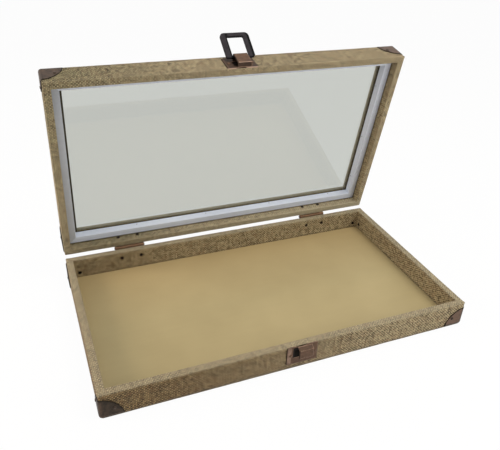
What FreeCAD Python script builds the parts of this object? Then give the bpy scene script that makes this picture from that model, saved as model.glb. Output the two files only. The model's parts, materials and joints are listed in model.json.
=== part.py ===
import FreeCAD, Part
import os
import re

import Sketcher

# Shallow display case with a glass top, standing open. Millimetres.
# +X runs to the right, the front faces -Y, +Z is up, the origin is the centre of the underside.
# Lid pieces are drawn in the closed place and swung open about the hinge pins as the last step.
doc = FreeCAD.newDocument("display_case")
sheet = doc.addObject("Spreadsheet::Sheet", "sizes")

SIZES = {
    # tray and lid
    "case_width": 375.0,
    "case_depth": 209.5,
    "base_height": 27.0,
    "lid_height": 26.0,
    "parting_gap": 0.6,
    "lid_angle": 79.0,
    "wall": 7.0,
    "cloth": 0.8,
    "corner_round": 1.5,
    "rim_round": 0.6,
    "floor_thick": 3.4,
    "floor_fit": 0.2,
    # glass, the lip over it and the strips that hold it
    "lip_width": 8.7,
    "lip_thick": 4.1,
    "glass_thick": 2.5,
    "glass_fit": 0.5,
    "strip_width": 7.3,
    "strip_height": 9.2,
    "strip_fit": 0.2,
    "strip_round": 0.6,
    # corner caps
    "cap_reach": 21.5,
    "cap_sheet": 0.8,
    "cap_sole_round": 0.5,
    "cap_edge_round": 1.3,
    "cap_fit": 0.1,
    "cap_tack_along": 12.8,
    "cap_tack_up": 10.0,
    # tacks and screws
    "head_radius": 1.7,
    "head_height": 0.8,
    "shank_radius": 0.8,
    "shank_fit": 0.05,
    "tip_length": 1.4,
    "tip_poke": 0.6,
    # hinges
    "hinge_inset": 71.0,
    "hinge_width": 33.0,
    "leaf_height": 12.5,
    "leaf_sheet": 0.8,
    "leaf_corner": 1.5,
    "knuckle_count": 5,
    "knuckle_radius": 1.8,
    "knuckle_bite": 0.2,
    "knuckle_gap": 0.2,
    "pin_radius": 0.75,
    "pin_fit": 0.05,
    "pin_head_radius": 1.3,
    "pin_head_length": 0.6,
    "screw_pitch": 21.7,
    "screw_drop": 7.9,
    # catch plate on the tray and latch plate on the lid
    "plate_width": 31.0,
    "plate_height": 21.0,
    "plate_sheet": 0.8,
    "plate_corner": 1.2,
    "plate_tack_along": 12.4,
    "plate_tack_shift": 0.6,
    "scallop_radius": 15.5,
    "scallop_depth": 1.5,
    "scallop_shift": 1.15,
    "strap_width": 14.5,
    "strap_shift": 2.25,
    "strap_rise": 4.9,
    "strap_crest": 2.0,
    "strap_foot": 1.6,
    "strap_bend": 0.5,
    "ramp_run": 2.0,
    "hook_end": 13.2,
    "tunnel_end": 20.4,
    "slot_side": 3.3,
    "slot_start": 4.4,
    "slot_end": 13.6,
    # ring
    "ring_shift": 2.7,
    "ring_in": 16.3,
    "ring_play": 1.6,
    "ring_reach": 26.7,
    "ring_span": 23.9,
    "ring_bar": 4.8,
    "ring_leg": 6.7,
    "ring_thick": 3.0,
    "ring_corner": 4.6,
    "ring_foot_corner": 3.2,
    "ring_inner_corner": 1.2,
    "ring_edge": 0.7,
    "ring_angle": 25.7,
    # how far every cut runs past its piece
    "overrun": 1.0,
}

for row, (alias, value) in enumerate(SIZES.items(), start=1):
    sheet.set("A%d" % row, alias)
    sheet.set("B%d" % row, str(value))
    sheet.setAlias("B%d" % row, alias)
doc.recompute()

# places that several pieces share, as formulas of the sizes
HALF_X = "case_width / 2"
HALF_Y = "case_depth / 2"
LID_FOOT = "(base_height + parting_gap)"
LID_TOP = "(base_height + parting_gap + lid_height)"
LIP_FOOT = LID_TOP + " - lip_thick"
GLASS_FOOT = LIP_FOOT + " - glass_thick"
AXIS_Y = "(case_depth / 2 + leaf_sheet + knuckle_radius - knuckle_bite)"
AXIS_Z = "(base_height + parting_gap / 2)"
HINGE_X = "%d * (case_width / 2 - hinge_inset)"
PIVOT_OUT = "(plate_sheet + ring_play + ring_thick / 2)"
PIN = "vector(0; %s; %s)" % (AXIS_Y, AXIS_Z)
OPENED = "placement(vector(0; 0; 0); rotation(vector(1; 0; 0); -lid_angle); %s)" % PIN

# corners in order round the case, and the side that follows each of them
CORNERS = ["front_left", "front_right", "back_right", "back_left"]
SIDES = ["front", "right", "back", "left"]
SIGNS = [(-1, -1), (1, -1), (1, 1), (-1, 1)]
pieces = []

quarter_turn = 90

# an edge counts as lying at a level when it is this close to it, as a share of the case's width
near_share = 0.0002


def size(name):
    return float(getattr(sheet, name))


def close_to(distance):
    return abs(distance) < near_share * size("case_width")


def bound(text):
    # a formula with each size's name led by the sheet's
    def lead(match):
        word = match.group(0)
        return "sizes." + word if word in SIZES else word
    return re.sub(r"[a-z][a-z_]+", lead, text)


def bind(obj, **formulas):
    for name, text in formulas.items():
        obj.setExpression(name, bound(text))
    return obj


def at(x, y, z, turn=0, tip=0):
    # formula of a place: a shift, a turn about Z and, before it, a tip about X, in degrees
    shift = "placement(vector(%s; %s; %s); rotation(vector(0; 0; 1); %d))" % (x, y, z, turn)
    return shift + " * placement(vector(0; 0; 0); rotation(vector(1; 0; 0); %d))" % tip


def keep(obj, name, where=None):
    obj.Label = name
    if where:
        bind(obj, Placement=where)
    pieces.append(obj)
    return obj


def block(name, low, high):
    # box between two opposite corners
    spans = ["(%s) - (%s)" % (end, start) for start, end in zip(low, high)]
    obj = doc.addObject("Part::Box", name)
    return bind(obj, Length=spans[0], Width=spans[1], Height=spans[2], Placement=at(*low))


def centred_block(name, half_x, half_y, low, high):
    return block(name, ("-(%s)" % half_x, "-(%s)" % half_y, low), (half_x, half_y, high))


def rod(name, radius, length, where):
    # round bar that starts at a place and runs along its Z
    return bind(doc.addObject("Part::Cylinder", name), Radius=radius, Height=length, Placement=where)


def rod_along_x(name, radius, x, length, y, z):
    return rod(name, radius, length, at(x, y, z, quarter_turn, quarter_turn))


def joined(name, shapes):
    obj = doc.addObject("Part::MultiFuse", name)
    obj.Shapes = shapes
    return obj


def cut(name, base, tools):
    obj = doc.addObject("Part::Cut", name)
    obj.Base = base
    obj.Tool = tools[0] if len(tools) == 1 else joined(name + "_tools", tools)
    return obj


def common(name, base, tool):
    obj = doc.addObject("Part::Common", name)
    obj.Base = base
    obj.Tool = tool
    return obj


def linked(name, source, where):
    obj = doc.addObject("App::Link", name)
    obj.LinkedObject = source
    return bind(obj, Placement=where)


def group(name, members):
    obj = doc.addObject("Part::Compound", name)
    obj.Links = members
    return obj


def rounded(name, base, choose):
    # choose gives the radius for an edge, or nothing for one that stays sharp
    doc.recompute()
    obj = doc.addObject("Part::Fillet", name)
    obj.Base = base
    edges = []
    for number, edge in enumerate(base.Shape.Edges, start=1):
        radius = choose(edge)
        if radius:
            edges.append((number, radius, radius))
    obj.Edges = edges
    return obj


def runs_along(edge, axis):
    step = edge.Vertexes[-1].Point - edge.Vertexes[0].Point
    return step.Length > 0 and abs(step[axis]) > 0.999 * step.Length


def near(edge, axis, value):
    return close_to(edge.BoundBox.Center[axis] - value)


def plane_of(body, role):
    for item in body.Origin.OriginFeatures:
        if item.Role == role:
            return item


def polygon(body, name, plane, points, level):
    # closed outline on an origin plane of the body, lifted off it by a level
    sketch = body.newObject("Sketcher::SketchObject", name)
    sketch.AttachmentSupport = [(plane_of(body, plane), "")]
    sketch.MapMode = "FlatFace"
    sketch.setExpression("AttachmentOffset.Base.z", bound(level))
    count = len(points)
    start = [FreeCAD.Vector(i, i * i, 0) for i in range(count + 1)]
    for i in range(count):
        sketch.addGeometry(Part.LineSegment(start[i], start[i + 1]), False)
    for i in range(count):
        sketch.addConstraint(Sketcher.Constraint("Coincident", i, 2, (i + 1) % count, 1))
    for i, point in enumerate(points):
        for kind, text in zip(("DistanceX", "DistanceY"), point):
            held = sketch.addConstraint(Sketcher.Constraint(kind, -1, 1, i, 1, 1.0))
            label = "%s_%d" % (kind, i)
            sketch.renameConstraint(held, label)
            sketch.setExpression("Constraints." + label, bound(text))
    return sketch


def new_body(name):
    return doc.addObject("PartDesign::Body", name)


def prism(body, name, plane, points, low, high):
    # outline drawn on a plane and padded between two levels above that plane
    sketch = polygon(body, name + "_outline", plane, points, low)
    pad = body.newObject("PartDesign::Pad", name)
    pad.Profile = sketch
    return bind(pad, Length="(%s) - (%s)" % (high, low))


def body_round(body, name, base, radius, chosen):
    doc.recompute()
    names = ["Edge%d" % n for n, edge in enumerate(base.Shape.Edges, start=1) if chosen(edge)]
    obj = body.newObject("PartDesign::Fillet", name)
    obj.Base = (base, names)
    return bind(obj, Radius=radius)


def corner(number, inset):
    sign_x, sign_y = SIGNS[number % 4]
    x = "%d * (%s - (%s))" % (sign_x, HALF_X, inset)
    y = "%d * (%s - (%s))" % (sign_y, HALF_Y, inset)
    return x, y


def mitred(body, name, number, outer, inner, low, high):
    # bar along one side of the case, cut at 45 degrees at both ends
    ends = [corner(number, outer), corner(number + 1, outer)]
    ends += [corner(number + 1, inner), corner(number, inner)]
    return prism(body, name, "XY_Plane", ends, low, high)


def fastener(name, plate, depth):
    # domed head on +Z over a plain shank with a point; the head's seat is at zero
    body = new_body(name)
    sketch = body.newObject("Sketcher::SketchObject", name + "_outline")
    sketch.AttachmentSupport = [(plane_of(body, "XZ_Plane"), "")]
    sketch.MapMode = "FlatFace"
    head, rise, shank, tip = [size(n) for n in ("head_radius", "head_height", "shank_radius", "tip_length")]
    deep = size(plate) + size("wall")
    dome = (head * head + rise * rise) / (2 * rise)
    corners = [(head, 0), (shank, 0), (shank, tip - deep), (0, -deep), (0, rise)]
    texts = [("head_radius", "0"), ("shank_radius", "0"), ("shank_radius", "tip_length - (%s)" % depth),
             ("0", "-(%s)" % depth), ("0", "head_height")]
    lines = [FreeCAD.Vector(x, y, 0) for x, y in corners]
    for start, end in zip(lines, lines[1:]):
        sketch.addGeometry(Part.LineSegment(start, end), False)
    middle = FreeCAD.Vector(0, rise - dome, 0)
    circle = Part.Circle(middle, FreeCAD.Vector(0, 0, 1), dome)
    arc = Part.ArcOfCircle(circle, circle.parameter(lines[0]), circle.parameter(lines[-1]))
    last = sketch.addGeometry(arc, False)
    for i in range(last - 1):
        sketch.addConstraint(Sketcher.Constraint("Coincident", i, 2, i + 1, 1))
    sketch.addConstraint(Sketcher.Constraint("Coincident", last - 1, 2, last, 2))
    sketch.addConstraint(Sketcher.Constraint("Coincident", last, 1, 0, 1))
    for i, (pair, text) in enumerate(zip(corners, texts)):
        item, end = (i, 1) if i < last else (last - 1, 2)
        for kind, value, formula in zip(("DistanceX", "DistanceY"), pair, text):
            held = sketch.addConstraint(Sketcher.Constraint(kind, -1, 1, item, end, float(value)))
            label = "%s_%d" % (kind, i)
            sketch.renameConstraint(held, label)
            sketch.setExpression("Constraints." + label, bound(formula))
    held = sketch.addConstraint(Sketcher.Constraint("Radius", last, dome))
    sketch.renameConstraint(held, "dome")
    rule = "(head_radius * head_radius + head_height * head_height) / (2 * head_height)"
    sketch.setExpression("Constraints.dome", bound(rule))
    turned = body.newObject("PartDesign::Revolution", name + "_turned")
    turned.Profile = sketch
    turned.ReferenceAxis = (sketch, ["V_Axis"])
    return body


def side_place(side, along, up, out):
    # place on an outer face of the case, its Z pointing away from the case
    number = SIDES.index(side)
    sign_x, sign_y = [(0, -1), (1, 0), (0, 1), (-1, 0)][number]
    x = "%d * (%s + %s)" % (sign_x, HALF_X, out) if sign_x else along
    y = "%d * (%s + %s)" % (sign_y, HALF_Y, out) if sign_y else along
    return at(x, y, up, quarter_turn * number, quarter_turn)


def fix(name, source, spots, hole_depth):
    # one fastener at each place, and the hole that it needs
    links, holes = [], []
    for i, spot in enumerate(spots):
        links.append(linked("%s_%d" % (name, i), source, spot))
        down = " * placement(vector(0; 0; -(%s)); rotation(vector(0; 0; 1); 0))" % hole_depth
        length = "%s + overrun" % hole_depth
        holes.append(rod("%s_hole_%d" % (name, i), "shank_radius + shank_fit", length, spot + down))
    return group(name, links), holes


def cap_spots(up):
    spots = []
    for i, side in enumerate(SIDES):
        half = HALF_X if side in ("front", "back") else HALF_Y
        for sign in (-1, 1):
            spots.append(side_place(side, "%d * (%s - cap_tack_along)" % (sign, half), up, "cap_sheet"))
    return spots


def plate_spots(up):
    alongs = ["plate_tack_shift - plate_tack_along", "plate_tack_shift + plate_tack_along"]
    return [side_place("front", along, up, "plate_sheet") for along in alongs]


def hinge_spots(up):
    spots = []
    for sign in (-1, 1):
        for part in (-1, 1):
            along = "%s + %d * screw_pitch / 2" % (HINGE_X % sign, part)
            spots.append(side_place("back", along, up, "leaf_sheet"))
    return spots


# fasteners: the long ones come out through the inner cloth, the short ones stop at it
THROUGH = "%s + wall + tip_poke"
INSIDE = "%s + wall - cloth"
cap_tack = fastener("cap_tack", "cap_sheet", THROUGH % "cap_sheet")
cap_tack_short = fastener("cap_tack_short", "cap_sheet", INSIDE % "cap_sheet")
plate_tack = fastener("plate_tack", "plate_sheet", THROUGH % "plate_sheet")
plate_tack_short = fastener("plate_tack_short", "plate_sheet", INSIDE % "plate_sheet")
hinge_screw = fastener("hinge_screw", "leaf_sheet", THROUGH % "leaf_sheet")

fixings = {
    "base_corner_tacks": (cap_tack, cap_spots("cap_tack_up"), THROUGH % "cap_sheet"),
    "catch_tacks": (plate_tack, plate_spots("base_height - plate_height / 2"), THROUGH % "plate_sheet"),
    "lower_hinge_screws": (hinge_screw, hinge_spots(AXIS_Z + " - screw_drop"), THROUGH % "leaf_sheet"),
    "lid_corner_tacks": (cap_tack_short, cap_spots(LID_TOP + " - cap_tack_up"), INSIDE % "cap_sheet"),
    "latch_tacks": (plate_tack_short, plate_spots(LID_FOOT + " + plate_height / 2"), INSIDE % "plate_sheet"),
    "upper_hinge_screws": (hinge_screw, hinge_spots(AXIS_Z + " + screw_drop"), THROUGH % "leaf_sheet"),
}
holes = {"base": [], "lid": []}
for name, (source, spots, depth) in fixings.items():
    fixed, bores = fix(name + "_set", source, spots, depth)
    on_base = name in ("base_corner_tacks", "catch_tacks", "lower_hinge_screws")
    holes["base" if on_base else "lid"] += bores
    keep(fixed, name, None if on_base else OPENED)
base_holes = joined("base_holes", holes["base"])
lid_holes = joined("lid_holes", holes["lid"])


# tray: four mitred boards, the floor, the cloth round them and the cloth under them
def tray():
    for i, side in enumerate(SIDES):
        body = new_body("base_%s_blank" % side)
        mitred(body, "base_%s_bar" % side, i, "cloth", "wall - cloth", "cap_sheet", "base_height - cloth")
        keep(cut("base_%s_cut" % side, body, [base_holes]), "base_%s_board" % side)
    inset = " - wall - floor_fit"
    floor = centred_block("floor", HALF_X + inset, HALF_Y + inset, "cap_sheet", "cap_sheet + floor_thick")
    keep(floor, "floor_board")
    flat = centred_block("underlay_flat", HALF_X, HALF_Y, "0", "cap_sheet")
    corners = []
    for i, name in enumerate(CORNERS):
        x, y = corner(i, "-cap_sheet")
        place = at(x, y, "-overrun")
        corners.append(rod("underlay_%s" % name, "cap_reach + cap_fit", "cap_sheet + 2 * overrun", place))
    keep(cut("underlay_cut", flat, corners), "underlay")


def wrapped(name, low, high, cavity_low, cavity_high, soft_levels, opening=None):
    # solid block with its cavity, rounded at its upright corners and round the edges at some levels
    outer = centred_block(name + "_outer", HALF_X, HALF_Y, low, high)
    cavity = centred_block(name + "_cavity", HALF_X + " - wall", HALF_Y + " - wall", cavity_low, cavity_high)
    hollow = cut(name + "_hollow", outer, [cavity] + ([opening] if opening else []))
    half_x = size("case_width") / 2

    def choose(edge):
        if runs_along(edge, 2) and close_to(abs(edge.BoundBox.Center.x) - half_x):
            return size("corner_round")
        if any(near(edge, 2, level) for level in soft_levels):
            return size("rim_round")
    return rounded(name + "_round", hollow, choose)


def tray_cloth():
    skin = wrapped("base_skin", "cap_sheet", "base_height", "cap_sheet - overrun", "base_height + overrun",
                   [size("base_height")])
    ring = centred_block("base_ring", HALF_X + " - cloth", HALF_Y + " - cloth",
                         "cap_sheet - overrun", "base_height - cloth")
    core = centred_block("base_core", HALF_X + " - wall + cloth", HALF_Y + " - wall + cloth",
                         "cap_sheet - 2 * overrun", "base_height + overrun")
    boards = cut("base_board_space", ring, [core])
    keep(cut("base_cover_cut", skin, [boards, base_holes]), "base_cover")


# lid: four L-shaped rails, the cloth round them, the glass and its strips
def lid_frame():
    lip = "wall + lip_width"
    top = LID_TOP + " - cloth"
    for i, side in enumerate(SIDES):
        body = new_body("lid_%s_blank" % side)
        mitred(body, "lid_%s_leg" % side, i, "cloth", "wall - cloth", LID_FOOT + " + cloth", top)
        mitred(body, "lid_%s_lip" % side, i, "cloth", lip + " - cloth", LIP_FOOT, top)
        keep(cut("lid_%s_cut" % side, body, [lid_holes]), "lid_%s_rail" % side, OPENED)


def lid_cloth():
    lip_x = HALF_X + " - wall - lip_width"
    lip_y = HALF_Y + " - wall - lip_width"
    window = centred_block("lid_window", lip_x, lip_y, LID_FOOT, LID_TOP + " + overrun")

    foot = size("base_height") + size("parting_gap")
    skin = wrapped("lid_skin", LID_FOOT, LID_TOP, LID_FOOT + " - overrun", LIP_FOOT,
                   [foot, foot + size("lid_height")], window)
    ring = centred_block("lid_ring", HALF_X + " - cloth", HALF_Y + " - cloth",
                         LID_FOOT + " + cloth", LID_TOP + " - cloth")
    core = centred_block("lid_core", HALF_X + " - wall + cloth", HALF_Y + " - wall + cloth",
                         LID_FOOT, LIP_FOOT)
    lip_core = centred_block("lid_lip_core", lip_x + " + cloth", lip_y + " + cloth", LID_FOOT, LID_TOP)
    boards = cut("lid_board_space", ring, [core, lip_core])
    keep(cut("lid_cover_cut", skin, [boards, lid_holes]), "lid_cover", OPENED)


def glass():
    body = new_body("glass")
    outline = [corner(i, "wall + glass_fit") for i in range(4)]
    prism(body, "glass_pad", "XY_Plane", outline, GLASS_FOOT, LIP_FOOT)
    keep(body, "glass_panel", OPENED)


def glass_strips():
    outer = "wall + strip_fit"
    inner = outer + " + strip_width"
    foot = size("base_height") + size("parting_gap") + size("lid_height")
    foot -= size("lip_thick") + size("glass_thick") + size("strip_height")
    inset = size("wall") + size("strip_fit") + size("strip_width")
    reach = (size("case_width") / 2 - inset, size("case_depth") / 2 - inset)
    for i, side in enumerate(SIDES):
        body = new_body("strip_" + side)
        bar = mitred(body, "strip_%s_bar" % side, i, outer, inner, GLASS_FOOT + " - strip_height", GLASS_FOOT)
        across = (i + 1) % 2

        def inner_foot(edge):
            inside = close_to(abs(edge.BoundBox.Center[across]) - reach[across])
            return runs_along(edge, 1 - across) and inside and near(edge, 2, foot)
        body_round(body, "strip_%s_round" % side, bar, "strip_round", inner_foot)
        keep(body, "glass_strip_" + side, OPENED)


# corner cap: three legs of bent sheet, each ending in an arc about the corner
def cap_blank(name, edge_round):
    low = "-cap_sheet"
    full = block(name + "_full", (low, low, low), ("cap_reach - cap_sheet",) * 3)
    outside = -size("cap_sheet")

    def outer_round(edge):
        level = [near(edge, axis, outside) for axis in range(3)]
        if level[0] and level[1] and runs_along(edge, 2):
            return size("corner_round") + size("cap_sheet")
        if level[2] and (level[0] or level[1]):
            return size(edge_round)
    shell = rounded(name + "_shell", full, outer_round)
    ball = doc.addObject("Part::Sphere", name + "_ball")
    bind(ball, Radius="cap_reach", Placement=at(low, low, low))
    trimmed = common(name + "_trimmed", shell, ball)
    space = block(name + "_space", ("0", "0", "0"), ("cap_reach",) * 3)

    def inner_round(edge):
        return size("corner_round") if near(edge, 0, 0) and near(edge, 1, 0) and runs_along(edge, 2) else None
    return cut(name, trimmed, [rounded(name + "_inside", space, inner_round)])


def corner_caps():
    base_cap = cap_blank("base_cap_blank", "cap_sole_round")
    lid_cap = cap_blank("lid_cap_blank", "cap_edge_round")
    for i, name in enumerate(CORNERS):
        x, y = corner(i, "0")
        set_base = linked("base_cap_set_" + name, base_cap, at(x, y, "cap_sheet", quarter_turn * i))
        keep(cut("base_cap_cut_" + name, set_base, [base_holes]), "base_cap_" + name)
        over = at(x, y, LID_TOP, quarter_turn * (i + 1), 2 * quarter_turn)
        set_lid = linked("lid_cap_set_" + name, lid_cap, over)
        keep(cut("lid_cap_cut_" + name, set_lid, [lid_holes]), "lid_cap_" + name, OPENED)


# hinge: two leaves whose knuckles take turns on one pin
def leaf(name, centre, sign, own, bored, where):
    half = "hinge_width / 2"
    face, proud = HALF_Y, HALF_Y + " + leaf_sheet"
    ends = ["%s + %d * knuckle_radius" % (AXIS_Z, sign), "%s + %d * leaf_height" % (AXIS_Z, sign)]
    low, high = ends if sign > 0 else ends[::-1]
    left, right = "%s - %s" % (centre, half), "%s + %s" % (centre, half)
    plate = block(name + "_plate", (left, face, low), (right, proud, high))
    far = size("base_height") + size("parting_gap") / 2 + sign * size("leaf_height")

    def end_corner(edge):
        return size("leaf_corner") if runs_along(edge, 1) and near(edge, 2, far) else None
    parts = [rounded(name + "_plate_round", plate, end_corner)]
    for i in own:
        start = "%s + %d * hinge_width / knuckle_count + knuckle_gap / 2" % (left, i)
        length = "hinge_width / knuckle_count - knuckle_gap"
        span = [AXIS_Z, "%s + %d * (knuckle_radius + leaf_sheet)" % (AXIS_Z, sign)]
        tab_low, tab_high = span if sign > 0 else span[::-1]
        end = "%s + %s" % (start, length)
        parts.append(block("%s_tab_%d" % (name, i), (start, face, tab_low), (end, proud, tab_high)))
        parts.append(rod_along_x("%s_barrel_%d" % (name, i), "knuckle_radius", start, length, AXIS_Y, AXIS_Z))
    bore = rod_along_x(name + "_bore", "pin_radius + pin_fit", left + " - overrun",
                       "hinge_width + 2 * overrun", AXIS_Y, AXIS_Z)
    keep(cut(name + "_cut", joined(name + "_joined", parts), [bore, bored]), name, where)


def hinges():
    count = int(size("knuckle_count"))
    for side, sign in (("left", -1), ("right", 1)):
        centre = HINGE_X % sign
        leaf("hinge_%s_lower_leaf" % side, centre, -1, range(0, count, 2), base_holes, None)
        leaf("hinge_%s_upper_leaf" % side, centre, 1, range(1, count, 2), lid_holes, OPENED)
        name = "hinge_%s_pin" % side
        start = "%s - hinge_width / 2" % centre
        shaft = rod_along_x(name + "_shaft", "pin_radius", start, "hinge_width", AXIS_Y, AXIS_Z)
        heads = [rod_along_x(name + "_head_a", "pin_head_radius", start + " - pin_head_length",
                             "pin_head_length + knuckle_gap / 2", AXIS_Y, AXIS_Z),
                 rod_along_x(name + "_head_b", "pin_head_radius", start + " + hinge_width - knuckle_gap / 2",
                             "pin_head_length + knuckle_gap / 2", AXIS_Y, AXIS_Z)]
        keep(joined(name + "_joined", [shaft] + heads), name)


# catch plate and latch plate: sheet with a bowed edge at the parting and a raised strap
def front_plate(name, edge, sign, outline, bored, where):
    def level(depth):
        return "%s + %d * (%s)" % (edge, sign, depth)

    half = "plate_width / 2"
    face, proud = "-(%s)" % HALF_Y, "-(%s + plate_sheet)" % HALF_Y
    low, high = ("0", "plate_height") if sign > 0 else ("plate_height", "0")
    sheet_block = block(name + "_sheet", ("-" + half, proud, level(low)), (half, face, level(high)))

    def plate_corner(edge):
        return size("plate_corner") if runs_along(edge, 1) else None
    flat = rounded(name + "_flat", sheet_block, plate_corner)
    beyond = "-(%s + plate_sheet + overrun)" % HALF_Y
    bow = rod(name + "_bow", "scallop_radius", "plate_sheet + 2 * overrun",
              at("-scallop_shift", beyond, level("scallop_depth - scallop_radius"), 0, -quarter_turn))
    slot_low, slot_high = ("slot_start", "slot_end") if sign > 0 else ("slot_end", "slot_start")
    slot = block(name + "_slot", ("strap_shift - strap_width / 2 - slot_side", beyond, level(slot_low)),
                 ("strap_shift + strap_width / 2", face + " + overrun", level(slot_high)))
    pierced = cut(name + "_pierced", flat, [bow, slot])
    body = new_body(name + "_strap")
    points = [("-(%s + %s)" % (HALF_Y, out), level(depth)) for out, depth in outline]
    pad = prism(body, name + "_strap_pad", "YZ_Plane", points, "strap_shift - strap_width / 2",
                "strap_shift + strap_width / 2")
    front = -(size("case_depth") / 2 + size("strap_rise"))

    crest = front - size("strap_crest")

    def bend(edge):
        return runs_along(edge, 0) and (near(edge, 1, front) or near(edge, 1, crest))
    body_round(body, name + "_strap_bend", pad, "strap_bend", bend)
    keep(cut(name + "_cut", joined(name + "_joined", [pierced, body]), [bored]), name, where)


def latch():
    slope = "ramp_run / (strap_rise - plate_sheet)"
    shift = "plate_sheet * sqrt(1 + (%s) * (%s))" % (slope, slope)
    inside = "%s + %s * (strap_rise - 2 * plate_sheet)" % (shift, slope)
    rise = [("plate_sheet", "strap_foot"), ("strap_rise", "strap_foot + ramp_run")]
    rise_inside = [("strap_rise - plate_sheet", "strap_foot + " + inside),
                   ("plate_sheet", "strap_foot + " + shift)]
    hook = rise + [("strap_rise", "hook_end"), ("strap_rise - plate_sheet", "hook_end")] + rise_inside
    # the latch's strap climbs on towards the glass side, where the ring's pivot bar lies in it
    far_slope = "ramp_run / (strap_rise + strap_crest - plate_sheet)"
    far_shift = "plate_sheet * sqrt(1 + (%s) * (%s))" % (far_slope, far_slope)
    far_inside = "%s + %s * (strap_rise + strap_crest - 2 * plate_sheet)" % (far_shift, far_slope)
    tunnel = rise + [("strap_rise + strap_crest", "tunnel_end - ramp_run"), ("plate_sheet", "tunnel_end"),
                     ("plate_sheet", "tunnel_end - (%s)" % far_shift),
                     ("strap_rise + strap_crest - plate_sheet", "tunnel_end - (%s)" % far_inside)]
    tunnel += rise_inside
    front_plate("catch_plate", "base_height", -1, hook, base_holes, None)
    front_plate("latch_plate", LID_FOOT, 1, tunnel, lid_holes, OPENED)


# ring: drawn standing on its pivot, then leaned out from the lid
def ring():
    outer_x = "(ring_span + ring_leg) / 2"
    inner_x = "(ring_span - ring_leg) / 2"
    half = "ring_thick / 2"
    tip = "ring_reach + ring_bar / 2"
    hole_top = "ring_reach - ring_bar / 2"
    solid = centred_block("ring_full", outer_x, half, "0", tip)
    hole = centred_block("ring_hole", inner_x, half + " + overrun", "-overrun", hole_top)
    frame = cut("ring_frame", solid, [hole])
    top, inside = size("ring_reach") + size("ring_bar") / 2, size("ring_reach") - size("ring_bar") / 2

    def corners(edge):
        if runs_along(edge, 1) and near(edge, 2, top):
            return size("ring_corner")
        if runs_along(edge, 1) and near(edge, 2, inside):
            return size("ring_inner_corner")
    cornered = rounded("ring_cornered", frame, corners)
    face = size("ring_thick") / 2

    def rims(edge):
        box = edge.BoundBox
        on_face = close_to(abs(box.Center.y) - face) and close_to(box.YLength)
        return size("ring_edge") if on_face and not close_to(box.ZMax) else None
    softened = rounded("ring_softened", cornered, rims)
    bar = rod_along_x("ring_bar_full", half, "-(%s)" % outer_x, "ring_span + ring_leg", "0", "0")

    def ends(edge):
        box = edge.BoundBox
        return size("ring_edge") if close_to(box.XLength) and box.YLength > face else None
    pivot = rounded("ring_pivot", bar, ends)
    lean = at("ring_shift", "-(%s + %s)" % (HALF_Y, PIVOT_OUT), LID_FOOT + " + ring_in")
    lean += " * placement(vector(0; 0; 0); rotation(vector(1; 0; 0); ring_angle))"
    outline = centred_block("ring_outline", outer_x, half + " + overrun", "-" + half, tip + " + overrun")
    foot = -size("ring_thick") / 2

    def foot_corners(edge):
        return size("ring_foot_corner") if runs_along(edge, 1) and near(edge, 2, foot) else None
    trimmed = common("ring_trimmed", joined("ring_joined", [softened, pivot]),
                     rounded("ring_outline_cornered", outline, foot_corners))
    keep(trimmed, "latch_ring", OPENED + " * " + lean)


tray()
tray_cloth()
lid_frame()
lid_cloth()
glass()
glass_strips()
corner_caps()
hinges()
latch()
ring()
doc.recompute()

for obj in doc.Objects:
    if "Invalid" in obj.State or "Error" in obj.State:
        raise RuntimeError("%s is not built: %s" % (obj.Label, obj.State))
for piece in pieces:
    shape = piece.Shape
    if shape.isNull() or not shape.isValid() or not shape.Solids:
        raise RuntimeError("%s has no sound solid" % piece.Label)

os.makedirs("parts", exist_ok=True)
for piece in pieces:
    piece.Shape.exportStep("parts/%s.step" % piece.Label)
    box = piece.Shape.BoundBox
    print("%-24s %d %9.1f  x %7.1f %7.1f  y %7.1f %7.1f  z %7.1f %7.1f" % (
        piece.Label, len(piece.Shape.Solids), piece.Shape.Volume,
        box.XMin, box.XMax, box.YMin, box.YMax, box.ZMin, box.ZMax))
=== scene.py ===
import json
import math
import random

import bmesh
import bpy
from mathutils import Matrix, Vector, noise


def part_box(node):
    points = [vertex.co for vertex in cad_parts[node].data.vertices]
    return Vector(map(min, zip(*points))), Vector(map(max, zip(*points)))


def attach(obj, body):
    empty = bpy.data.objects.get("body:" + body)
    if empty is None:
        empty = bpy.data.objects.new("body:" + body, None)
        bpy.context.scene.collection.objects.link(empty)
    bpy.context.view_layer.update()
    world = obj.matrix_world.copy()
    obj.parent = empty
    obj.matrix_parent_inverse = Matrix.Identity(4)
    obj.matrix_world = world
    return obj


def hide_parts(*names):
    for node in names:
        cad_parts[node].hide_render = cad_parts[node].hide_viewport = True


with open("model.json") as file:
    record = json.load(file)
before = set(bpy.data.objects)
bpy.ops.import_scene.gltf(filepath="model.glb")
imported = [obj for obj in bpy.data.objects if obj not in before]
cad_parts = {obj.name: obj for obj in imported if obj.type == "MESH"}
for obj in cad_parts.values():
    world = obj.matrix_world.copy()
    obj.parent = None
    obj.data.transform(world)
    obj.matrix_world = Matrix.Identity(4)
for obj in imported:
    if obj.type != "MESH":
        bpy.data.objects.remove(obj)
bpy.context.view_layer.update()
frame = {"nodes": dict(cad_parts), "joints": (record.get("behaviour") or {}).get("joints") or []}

# Glass-top display case wrapped in burlap, standing open.
# Pieces are drawn in millimetres in the closed case, and the lid's are then swung open with it.
mm = 0.001
degree = math.pi / 180
nodes = frame["nodes"]
joints = {joint["name"]: joint for joint in frame["joints"]}

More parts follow.
